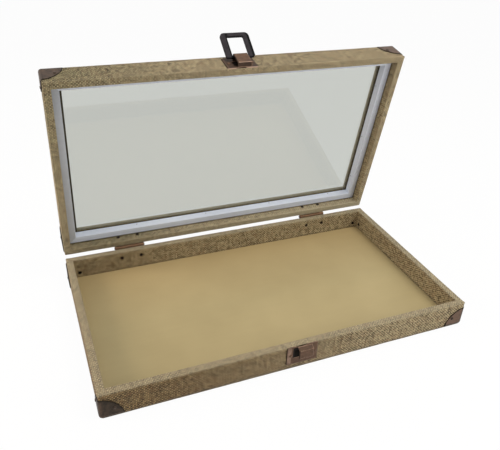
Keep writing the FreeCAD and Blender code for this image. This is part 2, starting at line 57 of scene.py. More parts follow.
case = {
    "width": 375.0, "depth": 209.5, "trayHeight": 27.0, "gap": 0.6, "lidHeight": 26.0,
    "wall": 7.0, "lidAngle": 79.0, "lipWidth": 8.7, "lipThick": 4.1,
}
halfX, halfY = case["width"] / 2, case["depth"] / 2
lidFoot = case["trayHeight"] + case["gap"]
lidTop = lidFoot + case["lidHeight"]
pinPoint = Vector(joints["lid_hinge"]["pos_m"])
lidOpen = (Matrix.Translation(pinPoint) @ Matrix.Rotation(-case["lidAngle"] * degree, 4, "X")
           @ Matrix.Translation(-pinPoint))
sides = ["front", "right", "back", "left"]
corners = ["front_left", "front_right", "back_right", "back_left"]
angles = {"smooth": 35, "rim": 60, "cut": 28, "bent": 8}  # how far faces turn at an edge, in degrees


# nodes and groups

def put(tree, kind, sockets=None, **settings):
    made = tree.nodes.new("ShaderNode" + kind)
    for name, value in settings.items():
        setattr(made, name, value)
    for name, value in (sockets or {}).items():
        join(tree, value, made.inputs[name])
    return made


def join(tree, value, socket):
    if isinstance(value, bpy.types.NodeSocket):
        tree.links.new(value, socket)
    elif value is not None:
        socket.default_value = value


def calc(tree, operation, *values, clamp=False):
    made = put(tree, "Math", operation=operation, use_clamp=clamp)
    for value, socket in zip(values, made.inputs):
        join(tree, value, socket)
    return made.outputs[0]


def vectors(tree, operation, first, second):
    made = put(tree, "VectorMath", operation=operation)
    join(tree, first, made.inputs[0])
    join(tree, second, made.inputs["Scale" if operation == "SCALE" else 1])
    return made.outputs[0]


def combine(tree, x, y, z):
    return put(tree, "CombineXYZ", {"X": x, "Y": y, "Z": z}).outputs[0]


def blendColours(tree, factor, first, second, blend="MIX"):
    made = put(tree, "Mix", {0: factor, 6: first, 7: second}, data_type="RGBA", blend_type=blend)
    return made.outputs[2]


def ramp(tree, value, low, high, start=0.0, end=1.0):
    made = put(tree, "MapRange", {"Value": value, "From Min": low, "From Max": high,
                                  "To Min": start, "To Max": end}, clamp=True)
    return made.outputs[0]


def grainNoise(tree, vector, scale, detail=2.0, rough=0.5):
    made = put(tree, "TexNoise", {"Vector": vector, "Scale": scale, "Detail": detail, "Roughness": rough})
    return made.outputs["Fac"], made.outputs["Color"]


def whiteNoise(tree, vector):
    return put(tree, "TexWhiteNoise", {"Vector": vector}).outputs[0]


def effect(name, inputs, outputs):
    # a shader node group: each input starts as a number or a colour, and one that takes points as None
    kinds = {float: "NodeSocketFloat", tuple: "NodeSocketColor", type(None): "NodeSocketVector"}
    tree = bpy.data.node_groups.new(name, "ShaderNodeTree")
    for label, value in inputs.items():
        socket = tree.interface.new_socket(name=label, in_out="INPUT", socket_type=kinds[type(value)])
        if value is not None:
            socket.default_value = value
    for label in outputs:
        kind = kinds[tuple if label == "Color" else float]
        tree.interface.new_socket(name=label, in_out="OUTPUT", socket_type=kind)
    given = tree.nodes.new("NodeGroupInput").outputs
    result = tree.nodes.new("NodeGroupOutput").inputs
    return tree, given, result


def use(tree, group, **sockets):
    made = tree.nodes.new("ShaderNodeGroup")
    made.node_tree = group
    for name, value in sockets.items():
        join(tree, value, made.inputs[name])
    return made.outputs


# plain weave of uneven jute threads, one unit apart: warp threads run along v, weft threads along u
jute = {
    "swayScale": 0.11, "slubScale": 1.0, "rustScale": 0.6, "patchScale": 0.17, "cloudScale": 0.022,
    "mottleScale": 0.4, "fuzzScale": 2.6, "swing": 6.0, "crown": 0.9, "dive": 0.5, "fuzz": 0.3,
    "drawnOut": 0.24, "spread": 7.3,  # a thread's own pattern, along it and between threads
    "strand": 0.25, "patch": 0.35, "cloud": 0.35,  # what these add to the tone
    "rustFrom": 0.5, "rustTo": 0.72, "rust": 0.5, "wornAndLit": 0.5, "paintedShadeDepth": 0.4,
}


def makeWeave(look):
    tree, given, result = effect("plainWeave", {
        "Vector": None, "Thread": 0.00095, "Waviness": 0.3, "Light": (0.4, 0.34, 0.22, 1),
        "Dark": (0.1, 0.07, 0.035, 1), "Rust": (0.3, 0.17, 0.08, 1), "Depth": 0.6, "Checker": 0.5,
        "Grain": 0.5, "Mottle": 1.0, "Rub": 0.0, "Stain": 0.0, "StainTint": (0.62, 0.52, 0.4, 1),
        "Rubbed": (0.5, 0.44, 0.31, 1),
    }, ["Color", "Height"])
    flat = vectors(tree, "SCALE", given["Vector"], calc(tree, "DIVIDE", 1.0, given["Thread"]))
    sway = vectors(tree, "SUBTRACT", grainNoise(tree, flat, look["swayScale"], 1.0)[1], (0.5, 0.5, 0.5))
    swing = calc(tree, "MULTIPLY", given["Waviness"], look["swing"])
    threads = vectors(tree, "ADD", flat, vectors(tree, "SCALE", sway, swing))
    apart = put(tree, "SeparateXYZ", {"Vector": threads}).outputs
    number = [calc(tree, "FLOOR", apart[i]) for i in (0, 1)]
    across = [calc(tree, "ABSOLUTE", calc(tree, "MULTIPLY_ADD", calc(tree, "FRACT", apart[i]), 2.0, -1.0))
              for i in (0, 1)]
    over = calc(tree, "FLOORED_MODULO", calc(tree, "ADD", *number), 2.0)  # 1 where the warp is on top
    under = calc(tree, "SUBTRACT", 1.0, over)

    def chosen(weft, warp):
        return calc(tree, "ADD", calc(tree, "MULTIPLY", weft, under), calc(tree, "MULTIPLY", warp, over))
    side, along = chosen(across[1], across[0]), chosen(across[0], across[1])
    crown = calc(tree, "MULTIPLY_ADD", calc(tree, "MULTIPLY", side, side), -look["crown"], 1.0)
    dive = calc(tree, "MULTIPLY_ADD", calc(tree, "MULTIPLY", along, along), -look["dive"], 1.0)
    height = calc(tree, "MULTIPLY", crown, dive)

    spread = [calc(tree, "MULTIPLY", number[i], look["spread"]) for i in (0, 1)]
    drawnOut = [calc(tree, "MULTIPLY", apart[i], look["drawnOut"]) for i in (0, 1)]
    lengthwise = combine(tree, spread[0], drawnOut[1], 3.0)  # the last numbers keep the patterns apart
    crosswise = combine(tree, drawnOut[0], spread[1], 19.0)
    run = put(tree, "Mix", {0: over, 4: crosswise, 5: lengthwise}, data_type="VECTOR").outputs[1]
    strand = whiteNoise(tree, combine(tree, chosen(number[1], number[0]), over, 4.0))
    grain = whiteNoise(tree, combine(tree, number[0], number[1], 9.0))
    patch = grainNoise(tree, flat, look["patchScale"], 3.0, 0.6)[0]
    cloud = grainNoise(tree, flat, look["cloudScale"], 2.0)[0]
    mottle = grainNoise(tree, flat, look["mottleScale"], 3.0, 0.7)[0]
    tone = grainNoise(tree, run, look["slubScale"], 2.0)[0]
    for value, weight in ((strand, look["strand"]), (grain, given["Grain"]), (mottle, given["Mottle"]),
                          (patch, look["patch"]), (cloud, look["cloud"]), (over, given["Checker"])):
        tone = calc(tree, "MULTIPLY_ADD", calc(tree, "SUBTRACT", value, 0.5), weight, tone)
    tone = calc(tree, "ADD", tone, 0.0, clamp=True)
    colour = blendColours(tree, tone, given["Dark"], given["Light"])
    rusty = grainNoise(tree, run, look["rustScale"], 1.0)[0]
    rusty = ramp(tree, rusty, look["rustFrom"], look["rustTo"], 0.0, look["rust"])
    colour = blendColours(tree, rusty, colour, given["Rust"])
    # a positive rub value lightens worn cloth and carries painted light, a negative one darkens it with
    # painted shade
    colour = blendColours(tree, calc(tree, "MULTIPLY", given["Rub"], look["wornAndLit"]), colour, given["Rubbed"])
    shade = calc(tree, "MULTIPLY_ADD", height, given["Depth"], calc(tree, "SUBTRACT", 1.0, given["Depth"]))
    shade = calc(tree, "MULTIPLY", shade, ramp(tree, given["Rub"], -1.0, 0.0, look["paintedShadeDepth"], 1.0))
    shaded = vectors(tree, "SCALE", colour, shade)
    # painted shade spots, blotched, and none where the cloth is rubbed or given painted light
    edge = calc(tree, "MULTIPLY_ADD", patch, 0.5, calc(tree, "MULTIPLY_ADD", cloud, 0.5, -0.5))
    paintedShadeMask = calc(tree, "ADD", given["Stain"], calc(tree, "MULTIPLY", edge, given["Stain"]), clamp=True)
    paintedShadeMask = calc(tree, "MULTIPLY", paintedShadeMask, calc(tree, "SUBTRACT", 1.0, given["Rub"]))
    paintedShading = blendColours(tree, 1.0, shaded, given["StainTint"], "MULTIPLY")
    fuzz = grainNoise(tree, threads, look["fuzzScale"], 2.0)[0]
    join(tree, blendColours(tree, paintedShadeMask, shaded, paintedShading), result["Color"])
    join(tree, calc(tree, "MULTIPLY_ADD", fuzz, look["fuzz"], height), result["Height"])
    return tree


# dark lacquered or plated sheet: worn and painted highlight where edge is 1, painted shade where it is -1
platedSheet = {
    "cloudScale": 190.0, "speckScale": 900.0, "drawnOut": (260.0, 1800.0, 1800.0), "scratches": (0.66, 0.74),
    "rub": (0.3, 0.8), "scratchRub": 0.35, "cloud": 1.5, "speck": 0.5, "paintedShadeDepth": 0.08, "uneven": 0.3,
    "polish": 0.12, "scratchDepth": 0.5,
}


def makeAged(look):
    tree, given, result = effect("agedSheet", {
        "Vector": None, "Edge": 0.0, "Finish": (0.1, 0.07, 0.05, 1), "Rubbed": (0.35, 0.22, 0.15, 1),
        "Wear": 0.6, "Dull": 0.45,
    }, ["Color", "Roughness", "Height"])
    cloud = grainNoise(tree, given["Vector"], look["cloudScale"], 4.0, 0.6)[0]
    speck = grainNoise(tree, given["Vector"], look["speckScale"], 3.0, 0.6)[0]
    drawnOut = vectors(tree, "MULTIPLY", given["Vector"], look["drawnOut"])
    scratch = ramp(tree, grainNoise(tree, drawnOut, 1.0, 2.0, 0.7)[0], *look["scratches"])
    worn = calc(tree, "MULTIPLY", given["Edge"], calc(tree, "ADD", cloud, given["Wear"]))
    scratched = calc(tree, "MULTIPLY", scratch, look["scratchRub"])
    rub = calc(tree, "MAXIMUM", ramp(tree, worn, *look["rub"]), scratched)
    shade = calc(tree, "MULTIPLY_ADD", cloud, look["cloud"], calc(tree, "MULTIPLY", speck, look["speck"]))
    shade = calc(tree, "MULTIPLY", shade, ramp(tree, given["Edge"], -1.0, 0.0, look["paintedShadeDepth"], 1.0))
    uneven = calc(tree, "MULTIPLY_ADD", cloud, look["uneven"], -look["uneven"] / 2)
    rough = calc(tree, "ADD", given["Dull"], uneven)
    rough = calc(tree, "SUBTRACT", rough, calc(tree, "MULTIPLY", rub, look["polish"]), clamp=True)
    height = calc(tree, "SUBTRACT", speck, calc(tree, "MULTIPLY", scratch, look["scratchDepth"]))
    colour = vectors(tree, "SCALE", given["Finish"], shade)
    join(tree, blendColours(tree, rub, colour, given["Rubbed"]), result["Color"])
    join(tree, rough, result["Roughness"])
    join(tree, height, result["Height"])
    return tree


# grain lines along X over a broad colour drift
plank = {
    "lines": (14.0, 420.0, 420.0), "driftScale": 16.0, "pores": (300.0, 2400.0, 2400.0), "poreMark": 0.12,
    "mark": (0.25, 0.85), "rough": (0.2, 0.8, 0.5, 0.68), "poreDepth": 0.5,
}


def makeGrain(look):
    tree, given, result = effect("boardGrain", {
        "Vector": None, "Light": (0.5, 0.4, 0.25, 1), "Dark": (0.3, 0.2, 0.1, 1), "Lines": 0.5,
        "Fineness": 1.0,
    }, ["Color", "Roughness", "Height"])
    scaled = vectors(tree, "SCALE", given["Vector"], given["Fineness"])
    lines = grainNoise(tree, vectors(tree, "MULTIPLY", scaled, look["lines"]), 1.0, 4.0, 0.6)[0]
    drift = grainNoise(tree, scaled, look["driftScale"], 3.0, 0.55)[0]
    pores = grainNoise(tree, vectors(tree, "MULTIPLY", scaled, look["pores"]), 1.0, 2.0)[0]
    mark = calc(tree, "MULTIPLY_ADD", calc(tree, "SUBTRACT", lines, 0.5), given["Lines"], drift)
    mark = ramp(tree, calc(tree, "MULTIPLY_ADD", pores, look["poreMark"], mark), *look["mark"])
    join(tree, blendColours(tree, mark, given["Dark"], given["Light"]), result["Color"])
    join(tree, ramp(tree, lines, *look["rough"]), result["Roughness"])
    join(tree, calc(tree, "MULTIPLY_ADD", pores, look["poreDepth"], lines), result["Height"])
    return tree


weave, agedSheet, boardGrain = makeWeave(jute), makeAged(platedSheet), makeGrain(plank)


def newMaterial(name, **constants):
    material = bpy.data.materials.new(name)
    material.use_nodes = True
    tree = material.node_tree
    shader = tree.nodes["Principled BSDF"]
    for label, value in constants.items():
        shader.inputs[label.replace("_", " ")].default_value = value
    return material, tree, shader


def coat(tree, shader, colour, rough, height, distance, strength):
    join(tree, colour, shader.inputs["Base Color"])
    join(tree, rough, shader.inputs["Roughness"])
    bump = put(tree, "Bump", {"Height": height, "Distance": distance, "Strength": strength})
    join(tree, bump.outputs[0], shader.inputs["Normal"])


def objectPoints(tree, tilt=0.0):
    # points of the closed case: a lid pattern is turned back by the lid's angle
    points = put(tree, "TexCoord").outputs["Object"]
    if tilt:
        points = put(tree, "Mapping", {"Vector": points, "Rotation": (tilt * degree, 0, 0)}).outputs[0]
    return points


def keptValue(tree, name):
    # a value that the mesh keeps for each of its points
    return put(tree, "Attribute", attribute_name=name).outputs["Fac"]


def burlap(name, look, shadeSpots=()):
    # each spot is painted shade: a middle and a reach each, at full strength in the first fifth of the reach
    material, tree, shader = newMaterial(name, Roughness=0.92, Sheen_Weight=0.12, Sheen_Roughness=0.5,
                                         Specular_IOR_Level=0.25)
    paintedShading = 0.0
    for middle, reach in shadeSpots:
        away = put(tree, "VectorMath", {0: objectPoints(tree), 1: middle}, operation="DISTANCE")
        near = ramp(tree, away.outputs["Value"], reach / 5, reach, 1.0, 0.0)
        paintedShading = calc(tree, "MAXIMUM", near, paintedShading)
    laid = put(tree, "UVMap", uv_map="cloth").outputs[0]
    # the rub value holds wear on the rims, and painted light and painted shade inside the lid
    made = use(tree, weave, Vector=laid, Rub=keptValue(tree, "rub"), Stain=paintedShading, **look)
    between, onTop = 0.98, 0.82  # roughness between the threads and on them
    rough = ramp(tree, made["Height"], 0.0, 1.0, between, onTop)
    coat(tree, shader, made["Color"], rough, made["Height"], distance=0.00035, strength=0.8)
    return material


def metal(name, finish, wornAndLit, wear, dull, metallic=0.6, specular=0.3):
    material, tree, shader = newMaterial(name, Metallic=metallic, Specular_IOR_Level=specular)
    made = use(tree, agedSheet, Vector=objectPoints(tree), Edge=keptValue(tree, "edge"), Finish=finish,
               Rubbed=wornAndLit, Wear=wear, Dull=dull)
    coat(tree, shader, made["Color"], made["Roughness"], made["Height"], distance=0.00006, strength=0.5)
    return material


def wood(name, light, dark, lines, fineness=1.0, tilt=0.0, bump=0.00008, specular=0.35, paintedBackShade=None):
    # painted shade: what the colour is multiplied by towards the hinges, in full from fullAt on
    material, tree, shader = newMaterial(name, Specular_IOR_Level=specular)
    points = objectPoints(tree, tilt)
    made = use(tree, boardGrain, Vector=points, Light=light, Dark=dark, Lines=lines, Fineness=fineness)
    colour = made["Color"]
    if paintedBackShade:
        back = put(tree, "SeparateXYZ", {"Vector": points}).outputs[1]
        tinted = blendColours(tree, 1.0, colour, paintedBackShade["tint"], "MULTIPLY")
        colour = blendColours(tree, ramp(tree, back, 0.0, paintedBackShade["fullAt"]), colour, tinted)
    coat(tree, shader, colour, made["Roughness"], made["Height"], bump, strength=0.6)
    return material


glass = {"tint": (0.565, 0.582, 0.548, 1), "shadow": (0.8, 0.82, 0.79, 1), "smear": (9.0, 30.0, 5.0),
         "smeared": (0.45, 0.8, 0.0, 0.06)}


def clearGlass(look):
    # faintly smeared, and lamps shine through it
    material, tree, shader = newMaterial("clearGlass", Transmission_Weight=1.0, IOR=1.5,
                                         Base_Color=look["tint"])
    smear = grainNoise(tree, vectors(tree, "MULTIPLY", objectPoints(tree), look["smear"]), 1.0, 3.0)[0]
    join(tree, ramp(tree, smear, *look["smeared"]), shader.inputs["Roughness"])
    lamps = put(tree, "BsdfTransparent", {"Color": look["shadow"]})
    path = put(tree, "LightPath").outputs["Is Shadow Ray"]
    both = put(tree, "MixShader", {0: path, 1: shader.outputs[0], 2: lamps.outputs[0]})
    join(tree, both.outputs[0], tree.nodes["Material Output"].inputs["Surface"])
    return material


trayBurlapLook = {
    "Light": (0.7, 0.575, 0.34, 1), "Dark": (0.08, 0.054, 0.024, 1), "Rust": (0.33, 0.18, 0.085, 1),
    "Thread": 0.0015, "Waviness": 0.035, "Depth": 0.6, "Checker": 0.55, "Grain": 0.5, "Mottle": 1.6,
}
# the lid's lighter rubbed colour is partly painted light on its lip and back wall
lidBurlapLook = dict(trayBurlapLook, Waviness=0.06, Mottle=2.2, StainTint=(0.66, 0.69, 0.62, 1),
                     Rubbed=(0.6, 0.53, 0.375, 1))
underClothLook = dict(trayBurlapLook, Thread=0.0007, Light=(0.36, 0.3, 0.2, 1), Dark=(0.14, 0.11, 0.07, 1))
# the spots are painted shade: the tray's front left and the lid's left end, high and low
trayBurlap = burlap("trayBurlap", trayBurlapLook, [((-0.17, -0.105, 0.01), 0.26)])
lidBurlap = burlap("lidBurlap", lidBurlapLook, [((-0.19, 0.09, 0.24), 0.15), ((-0.13, 0.105, 0.035), 0.075)])
underCloth = burlap("underCloth", underClothLook)

boardLook = {"light": (0.56, 0.43, 0.27, 1), "dark": (0.36, 0.24, 0.12, 1), "lines": 1.1}
stripLook = {"light": (0.75, 0.81, 0.94, 1), "dark": (0.61, 0.66, 0.79, 1), "lines": 0.5, "fineness": 0.8,
             "tilt": case["lidAngle"], "bump": 0.00005}
# the left strip's darker paint is painted shade
shadedLeftStripLook = dict(stripLook, light=(0.58, 0.62, 0.7, 1), dark=(0.47, 0.5, 0.58, 1))
boardWood = wood("boardWood", **boardLook)
lidWood = wood("lidWood", tilt=case["lidAngle"], **boardLook)
# the floor panel's darker back is painted shade
floorPanel = wood("floorPanel", light=(0.47, 0.384, 0.205, 1), dark=(0.394, 0.318, 0.164, 1), lines=0.25,
                  fineness=0.7, bump=0.00003, paintedBackShade={"tint": (1.0, 0.93, 0.88, 1), "fullAt": 0.09})
stripPaint = wood("stripPaint", **stripLook)
shadedLeftStripPaint = wood("shadedLeftStripPaint", **shadedLeftStripLook)
# painted shadow along the strips' foot at the glass
glazingGapShade = wood("glazingGapShade", light=(0.075, 0.07, 0.05, 1), dark=(0.04, 0.036, 0.025, 1),
                       lines=0.5, specular=0.05)
# a near-black card that is painted shade under the plates
shadowCardPaint = wood("shadowCardPaint", light=(0.016, 0.012, 0.009, 1), dark=(0.006, 0.004, 0.003, 1),
                   lines=0.5, specular=0.05)
glassClear = clearGlass(glass)
capBronze = metal("capBronze", finish=(0.042, 0.032, 0.023, 1), wornAndLit=(0.15, 0.09, 0.06, 1), wear=0.35,
                  dull=0.48, metallic=0.7, specular=0.2)
tackBronze = metal("tackBronze", finish=(0.055, 0.04, 0.03, 1), wornAndLit=(0.2, 0.13, 0.09, 1), wear=0.4,
                   dull=0.42, metallic=0.7, specular=0.2)
latchCopper = metal("latchCopper", finish=(0.117, 0.066, 0.041, 1), wornAndLit=(0.52, 0.36, 0.27, 1), wear=0.35,
                    dull=0.5)
hingeCopper = metal("hingeCopper", finish=(0.11, 0.061, 0.034, 1), wornAndLit=(0.22, 0.125, 0.07, 1), wear=0.35,
                    dull=0.5)
pinCopper = metal("pinCopper", finish=(0.12, 0.07, 0.055, 1), wornAndLit=(0.3, 0.2, 0.15, 1), wear=0.4, dull=0.45)
ringBlack = metal("ringBlack", finish=(0.034, 0.03, 0.035, 1), wornAndLit=(0.12, 0.11, 0.11, 1), wear=0.2,
                  dull=0.4, metallic=0.0, specular=0.05)
print("materials ready")


# pieces

def addObject(name, data):
    made = bpy.data.objects.new(name, data)
    bpy.context.scene.collection.objects.link(made)
    return made


def addPiece(name, bm, material, body, stands=(), lidPart=False):
    bmesh.ops.scale(bm, vec=(mm, mm, mm), verts=bm.verts)
    if lidPart:
        bmesh.ops.transform(bm, matrix=lidOpen, verts=bm.verts)
    for face in bm.faces:
        face.smooth = True
    for edge in bm.edges:
        edge.smooth = len(edge.link_faces) != 2 or edge.calc_face_angle() < angles["smooth"] * degree
    mesh = bpy.data.meshes.new(name)
    bm.to_mesh(mesh)
    bm.free()
    mesh.materials.append(material)
    piece = addObject(name, mesh)
    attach(piece, body)
    if stands:
        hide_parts(*stands)
    return piece


def vertsOf(items):
    return [item for item in items if isinstance(item, bmesh.types.BMVert)]


def drawWrap(steps):
    # a strip of cloth round the case: each step is how far in from the outside, and how high
    bm = bmesh.new()
    bmesh.ops.create_grid(bm, x_segments=1, y_segments=1, size=1)
    bmesh.ops.delete(bm, geom=bm.faces[:], context="FACES_ONLY")
    loop, verts = bm.edges[:], bm.verts[:]
    for number, (inset, height) in enumerate(steps):
        if number:
            made = bmesh.ops.extrude_edge_only(bm, edges=loop)["geom"]
            verts = vertsOf(made)
            loop = [item for item in made if isinstance(item, bmesh.types.BMEdge)
                    and item.verts[0] in verts and item.verts[1] in verts]
        for vert in verts:
            x, y, z = vert.co
            vert.co = (math.copysign(halfX - inset, x), math.copysign(halfY - inset, y), height)
    bmesh.ops.recalc_face_normals(bm, faces=bm.faces)
    outermost = max(bm.faces, key=lambda face: face.calc_center_median().x)
    if outermost.normal.x < 0:
        bmesh.ops.reverse_faces(bm, faces=bm.faces)
    return bm


def bevelEdges(bm, chosen, offset, segments):
    edges = [edge for edge in bm.edges if chosen(edge)]
    bmesh.ops.bevel(bm, geom=edges, offset=offset, segments=segments, profile=0.5, material=-1,
                    affect="EDGES", clamp_overlap=True)


def folded(edge, angle):
    return len(edge.link_faces) == 2 and edge.calc_face_angle() > angle * degree


def upright(edge):
    first, last = edge.verts
    return abs(first.co.z - last.co.z) > 1 and (first.co - last.co).xy.length < 0.01


def cutThrough(bm, point, way, clear=False):
    # a flat cut: clear takes away what lies beyond it
    bmesh.ops.bisect_plane(bm, geom=bm.verts[:] + bm.edges[:] + bm.faces[:], plane_co=point, plane_no=way,
                           clear_outer=clear)


def sliceUp(bm, axis, low, high, step):
    # parallel cuts that give a shape enough points to bulge and to keep wear and painted light values
    way = Vector((axis == 0, axis == 1, axis == 2))
    count = round((high - low) / step)
    for number in range(1, count):
        cutThrough(bm, way * (low + (high - low) * number / count), way)


def girth(steps, inset, height):
    # distance along the strip's cross section of the nearest point on it
    best, done, result = 1e9, 0.0, 0.0
    for (startIn, startUp), (endIn, endUp) in zip(steps, steps[1:]):
        run = Vector((endIn - startIn, endUp - startUp))
        local = Vector((inset - startIn, height - startUp))
        share = min(1.0, max(0.0, local.dot(run) / run.length_squared))
        away = (local - run * share).length
        if away < best - 1e-6:
            best, result = away, done + share * run.length
        done += run.length
    return result


def layCloth(bm, steps, offset):
    # UV in metres: u along the side of the case, v along the cross section, shifted from side to side
    sideShift, endShift = 0.13, 0.31
    layer = bm.loops.layers.uv.new("cloth")
    for face in bm.faces:
        middle = face.calc_center_median()
        across = 0 if halfX - abs(middle.x) < halfY - abs(middle.y) else 1
        half = halfX if across == 0 else halfY
        shift = offset + sideShift * across + (endShift if middle[across] > 0 else 0.0)
        for corner in face.loops:
            point = corner.vert.co
            along = point[1 - across] * mm + shift
            corner[layer].uv = (along, girth(steps, half - abs(point[across]), point.z) * mm + shift)


def ripple(bm, amount, seed, still):
    # slow and quick swells along the normals, none below the height still
    slow, quick, slowShare = 0.06, 0.35, 0.7
    bm.normal_update()
    for vert in bm.verts:
        if vert.co.z > still:
            place = vert.co + Vector((seed, 0, 0))
            swell = noise.noise(place * slow) * slowShare + noise.noise(place * quick) * (1 - slowShare)
            vert.co += vert.normal * swell * amount


def pullCorners(bm, height, ears, reach=4.5, forward=0.35):
    # the cloth's folded corners stand off the case as small points, each so far out and up
    for (signX, signY), (out, up) in ears.items():
        tip = Vector((signX * halfX, signY * halfY, height))
        for vert in bm.verts:
            away = (vert.co - tip).length
            if away < reach:
                pull = (1 - away / reach) ** 2
                vert.co += Vector((signX * out, signY * out * forward, up)) * pull


def rubRim(bm, height, amount, low=False, full=0.3, fade=0.8):
    # most along the rim that hands and the other half rub
    layer = bm.verts.layers.float.new("rub")
    for vert in bm.verts:
        away = vert.co.z - height if low else height - vert.co.z
        vert[layer] = amount * max(0.0, min(1.0, 1.0 - (away - full) / fade))


def giveThickness(piece, thick):
    skin = piece.modifiers.new("skin", "SOLIDIFY")
    skin.thickness, skin.offset = thick * mm, -1


def foldWrap(steps, look):
    # the strip with round corners and rims, cut fine, laid out and rippled
    bm = drawWrap(steps)
    bevelEdges(bm, lambda edge: upright(edge) and abs(edge.verts[0].co.x) > halfX - 1, look["outerCorner"], 4)
    bevelEdges(bm, lambda edge: upright(edge) and abs(edge.verts[0].co.x) < halfX - 3, look["innerCorner"], 2)
    bevelEdges(bm, lambda edge: folded(edge, angles["rim"]), look["rim"], 3)
    heights = [height for inset, height in steps]
    for axis, low, high in ((0, -halfX, halfX), (1, -halfY, halfY), (2, min(heights), max(heights))):
        sliceUp(bm, axis, low, high, look["grid"])
    layCloth(bm, steps, look["patternAt"])
    ripple(bm, look["ripple"], look["seed"], look["still"])
    return bm


trayWrap = {
    "foot": 0.85, "floor": 4.0, "skin": 0.7, "grid": 2.4, "outerCorner": 1.5, "innerCorner": 0.7, "rim": 0.7,
    "patternAt": 0.0, "ripple": 0.16, "seed": 11.0, "still": 1.05, "rub": 0.85,
    "ears": {(1, -1): (0.3, 1.0), (-1, -1): (0.8, 0.3), (1, 1): (0.5, 0.15), (-1, 1): (0.6, 0.2)},
}


def makeTrayWrap(look):
    wall, top = case["wall"], case["trayHeight"]
    bm = foldWrap([(0, look["foot"]), (0, top), (wall, top), (wall, look["floor"])], look)
    pullCorners(bm, top, look["ears"])
    rubRim(bm, top, look["rub"])
    piece = addPiece("trayWrap", bm, trayBurlap, "tray", ["base_cover"])
    giveThickness(piece, look["skin"])


lidWrap = {
    "strip": 13.0, "lipTurn": 0.05, "skin": 0.7, "grid": 2.4, "outerCorner": 1.5, "innerCorner": 0.7,
    "rim": 0.7, "patternAt": 1.7, "ripple": 0.16, "seed": 47.0, "still": 0.0, "rub": 0.4,
    "ears": {(1, -1): (1.0, 0.6), (-1, -1): (0.4, 0.1)},
    # painted light on the lip's edge and the back wall, painted shade along the strips
    "lipRub": 1.8, "lipReach": 2.0, "stripGapShade": -1.0, "deep": 9.0, "near": 0.5, "rimHeight": 1.0,
    "backRub": 0.5, "backRun": 500.0, "backRimRub": 0.35, "backRimRun": 350.0,
}


def paintLightAndShadeInside(bm, look, wall, lip):
    # the lip's edge, seen through the glass, gets painted light, a line of painted shade darkens the wall
    # where it meets the strips, and the back wall and its rim get painted light, more to the right
    layer = bm.verts.layers.float["rub"]
    deep, near = lidFoot + look["deep"], look["near"]
    for vert in bm.verts:
        inset = min(halfX - abs(vert.co.x), halfY - abs(vert.co.y))
        if inset > lip - look["lipReach"]:
            vert[layer] = look["lipRub"]
        elif wall - near < inset < wall + near and vert.co.z > deep:
            vert[layer] = look["stripGapShade"]
        elif vert.co.y > halfY - wall - near and vert.co.z < deep:
            rim = 0.0
            if vert.co.z < lidFoot + look["rimHeight"]:
                rim = max(0.0, look["backRimRub"] + vert.co.x / look["backRimRun"])
            rub = vert[layer] + rim + look["backRub"] + vert.co.x / look["backRun"]
            vert[layer] = min(1.0 + rim, rub)


def makeLidWrap(look):
    wall, lip = case["wall"], case["wall"] + case["lipWidth"]
    steps = [(wall, lidFoot + look["strip"]), (wall, lidFoot), (0, lidFoot), (0, lidTop), (lip, lidTop),
             (lip, lidTop - case["lipThick"] + look["lipTurn"])]
    bm = foldWrap(steps, look)
    pullCorners(bm, lidFoot, look["ears"])
    rubRim(bm, lidFoot, look["rub"], low=True)
    paintLightAndShadeInside(bm, look, wall, lip)
    piece = addPiece("lidWrap", bm, lidBurlap, "lid", ["lid_cover"], lidPart=True)
    giveThickness(piece, look["skin"])
    girthAll = girth(steps, *steps[-1])


underlay = {"skin": 0.7, "lift": 0.02, "grid": 3.0, "corner": 3.0, "patternAt": (2.3, 2.9), "sag": 0.18,
            "broad": 0.05, "fine": 0.3, "fineShare": 0.5, "fullness": 0.3}


def makeUnderlay(look):
    low, high = (point / mm for point in map(Vector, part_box("underlay")))
    bm = bmesh.new()
    bmesh.ops.create_grid(bm, x_segments=1, y_segments=1, size=0.5)
    bmesh.ops.scale(bm, vec=(high.x - low.x, high.y - low.y, 1), verts=bm.verts)
    bmesh.ops.translate(bm, vec=(0, 0, low.z + look["lift"]), verts=bm.verts)
    bmesh.ops.bevel(bm, geom=bm.verts[:], offset=look["corner"], segments=4, profile=0.5, material=-1,
                    affect="VERTICES")
    sliceUp(bm, 0, low.x, high.x, look["grid"])
    sliceUp(bm, 1, low.y, high.y, look["grid"])
    bm.normal_update()
    if next(iter(bm.faces)).normal.z > 0:
        bmesh.ops.reverse_faces(bm, faces=bm.faces)
    layer = bm.loops.layers.uv.new("cloth")
    for face in bm.faces:
        for corner in face.loops:
            corner[layer].uv = [corner.vert.co[axis] * mm + look["patternAt"][axis] for axis in (0, 1)]
    for vert in bm.verts:
        swell = noise.noise(vert.co * look["broad"]) + look["fineShare"] * noise.noise(vert.co * look["fine"])
        vert.co.z += look["sag"] * max(0.0, min(1.0, swell + look["fullness"]))
    piece = addPiece("trayUnderlay", bm, underCloth, "tray", ["underlay"])
    giveThickness(piece, look["skin"])


makeTrayWrap(trayWrap)
makeLidWrap(lidWrap)
makeUnderlay(underlay)
print("burlap wrapped")


shadowLine = {"inset": 14.4, "wide": 0.9, "thick": 0.7, "glassFoot": 47.0, "clear": 0.02, "ease": 0.3,
        "leftMore": 1.7}


